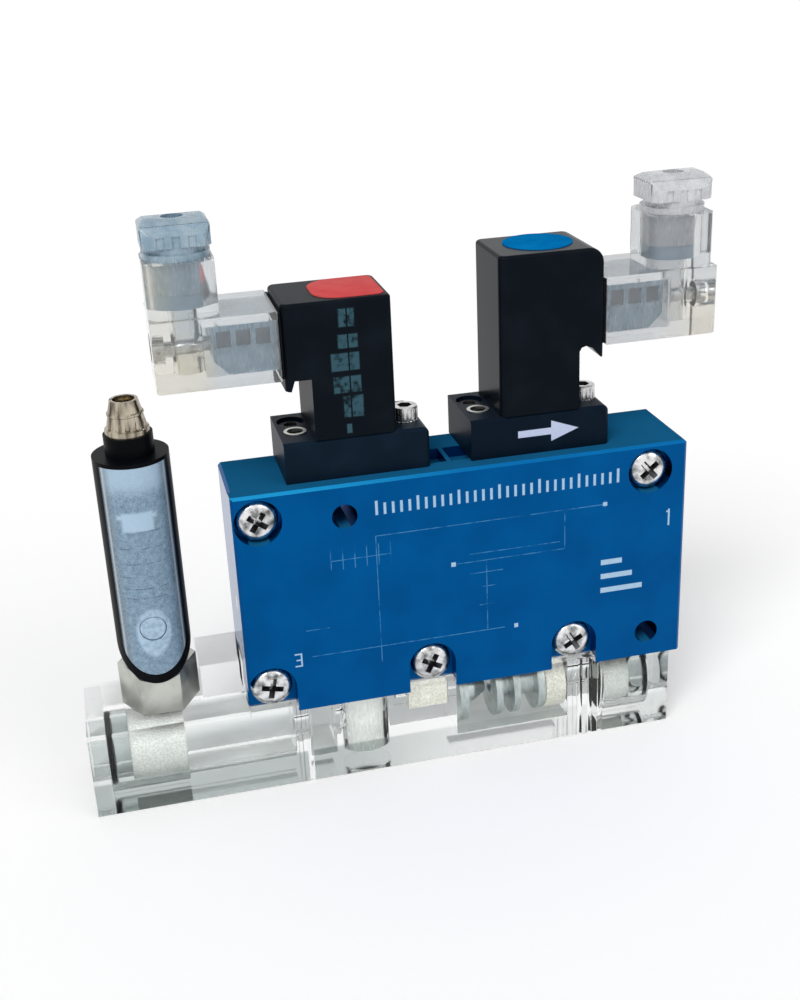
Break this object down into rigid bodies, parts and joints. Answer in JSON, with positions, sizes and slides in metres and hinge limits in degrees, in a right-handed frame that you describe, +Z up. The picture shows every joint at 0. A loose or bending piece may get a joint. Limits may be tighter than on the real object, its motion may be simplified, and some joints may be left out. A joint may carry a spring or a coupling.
{
  "type": "vacuum generator",
  "caption": "Compact venturi vacuum generator: blue ejector block on a clear filter housing, with two small solenoid valves, clear cable plugs and a vacuum switch.",
  "frame": {"origin": "on the underside of the clear housing, below the middle of the ejector body in X and Y", "axes": "+X along the body from the switch end to the exhaust end, +Y from the printed front to the back, +Z up"},
  "size_m": [0.1152, 0.018, 0.102],
  "materials": {
    "blue_anodised": "satin blue anodised",
    "steel": "turned steel",
    "screw_chrome": "bright nickel plated",
    "clear_plastic": "clear polished plastic",
    "black_rubber": "smooth seal rubber",
    "grey_rubber": "soft grey rubber",
    "white_porous": "fine porous",
    "cream_felt": "pressed felt",
    "frosted_plastic": "frosted clear plastic",
    "aluminium": "turned",
    "nickel": "nickel plated, slightly worn",
    "black_plastic": "fine textured black",
    "grey_window": "frosted blue-grey window",
    "board": "lacquered board",
    "gold_pins": "gilt contacts",
    "valve_base_black": "satin black",
    "coil_black": "satin black moulding",
    "red_disc": "matt red",
    "blue_disc": "matt blue",
    "blue_grey_plastic": "tinted translucent",
    "pale_plastic": "translucent pale"
  },
  "bodies": {
    "housing": {"blowoff_coil": "coil_black", "blowoff_colour_disc": "blue_disc", "blowoff_gland_nut": "pale_plastic", "blowoff_gland_sleeve": "grey_rubber", "blowoff_override_sleeve": "nickel", "blowoff_piston_spring": "steel", "blowoff_plug_gasket": "black_rubber", "blowoff_plug_housing": "clear_plastic", "blowoff_plunger_spring": "steel", "blowoff_terminal_carrier": "blue_grey_plastic", "blowoff_terminals": "gold_pins", "blowoff_valve_base": "valve_base_black", "blowoff_valve_screws": "screw_chrome", "body_screws": "screw_chrome", "channel_plug": "steel", "check_valve_cage": "frosted_plastic", "check_valve_spring": "steel", "clear_housing": "clear_plastic", "diffuser_ring": "cream_felt", "ejector_body": "blue_anodised", "exhaust_silencer": "white_porous", "filter_element": "white_porous", "left_end_cap": "clear_plastic", "left_o_ring": "black_rubber", "motive_nozzle": "aluminium", "plug_screws": "steel", "receiver_nozzle": "aluminium", "right_end_cap": "clear_plastic", "right_o_ring": "black_rubber", "suction_felt": "cream_felt", "supply_coil": "coil_black", "supply_colour_disc": "red_disc", "supply_gland_nut": "pale_plastic", "supply_gland_sleeve": "grey_rubber", "supply_override_sleeve": "nickel", "supply_piston_spring": "steel", "supply_plug_gasket": "black_rubber", "supply_plug_housing": "clear_plastic", "supply_plunger_spring": "steel", "supply_terminal_carrier": "blue_grey_plastic", "supply_terminals": "gold_pins", "supply_valve_base": "valve_base_black", "supply_valve_screws": "screw_chrome", "switch_board": "board", "switch_body": "black_plastic", "switch_collar": "black_plastic", "switch_fitting": "nickel", "switch_pins": "gold_pins", "switch_socket": "nickel", "switch_washer": "black_rubber", "switch_window": "grey_window", "valve_seals": "black_rubber"},
    "supply_override_pin_body": {"supply_override_pin": "black_plastic"},
    "blowoff_override_pin_body": {"blowoff_override_pin": "black_plastic"},
    "supply_plunger_body": {"supply_plunger": "steel"},
    "blowoff_plunger_body": {"blowoff_plunger": "steel"},
    "supply_piston_body": {"supply_piston": "aluminium"},
    "blowoff_piston_body": {"blowoff_piston": "aluminium"},
    "check_valve_poppet_body": {"check_valve_poppet": "black_rubber"},
    "set_button_body": {"set_button": "grey_window"}
  },
  "joints": [
    {"name": "supply_override_push", "type": "slide", "parent": "housing", "child": "supply_override_pin_body", "axis": [0, 0, -1], "range_m": [0, 0.001], "stiffness_N_per_m": 400, "springref_m": -0.001},
    {"name": "supply_plunger_lift", "type": "slide", "parent": "housing", "child": "supply_plunger_body", "axis": [0, 0, 1], "range_m": [0, 0.0008], "stiffness_N_per_m": 300, "springref_m": -0.001, "deforming": ["supply_plunger_spring"]},
    {"name": "supply_piston_shift", "type": "slide", "parent": "housing", "child": "supply_piston_body", "axis": [0, 0, -1], "range_m": [0, 0.0025], "stiffness_N_per_m": 500, "springref_m": -0.001, "deforming": ["supply_piston_spring"]},
    {"name": "blowoff_override_push", "type": "slide", "parent": "housing", "child": "blowoff_override_pin_body", "axis": [0, 0, -1], "range_m": [0, 0.001], "stiffness_N_per_m": 400, "springref_m": -0.001},
    {"name": "blowoff_plunger_lift", "type": "slide", "parent": "housing", "child": "blowoff_plunger_body", "axis": [0, 0, 1], "range_m": [0, 0.0008], "stiffness_N_per_m": 300, "springref_m": -0.001, "deforming": ["blowoff_plunger_spring"]},
    {"name": "blowoff_piston_shift", "type": "slide", "parent": "housing", "child": "blowoff_piston_body", "axis": [0, 0, -1], "range_m": [0, 0.0025], "stiffness_N_per_m": 500, "springref_m": -0.001, "deforming": ["blowoff_piston_spring"]},
    {"name": "check_valve_lift", "type": "slide", "parent": "housing", "child": "check_valve_poppet_body", "axis": [0, 0, 1], "range_m": [0, 0.0015], "stiffness_N_per_m": 40, "springref_m": -0.001, "deforming": ["check_valve_spring"]},
    {"name": "set_button_press", "type": "slide", "parent": "housing", "child": "set_button_body", "axis": [0, 1, 0], "range_m": [0, 0.0004], "stiffness_N_per_m": 800, "springref_m": -0.001}
  ]
}
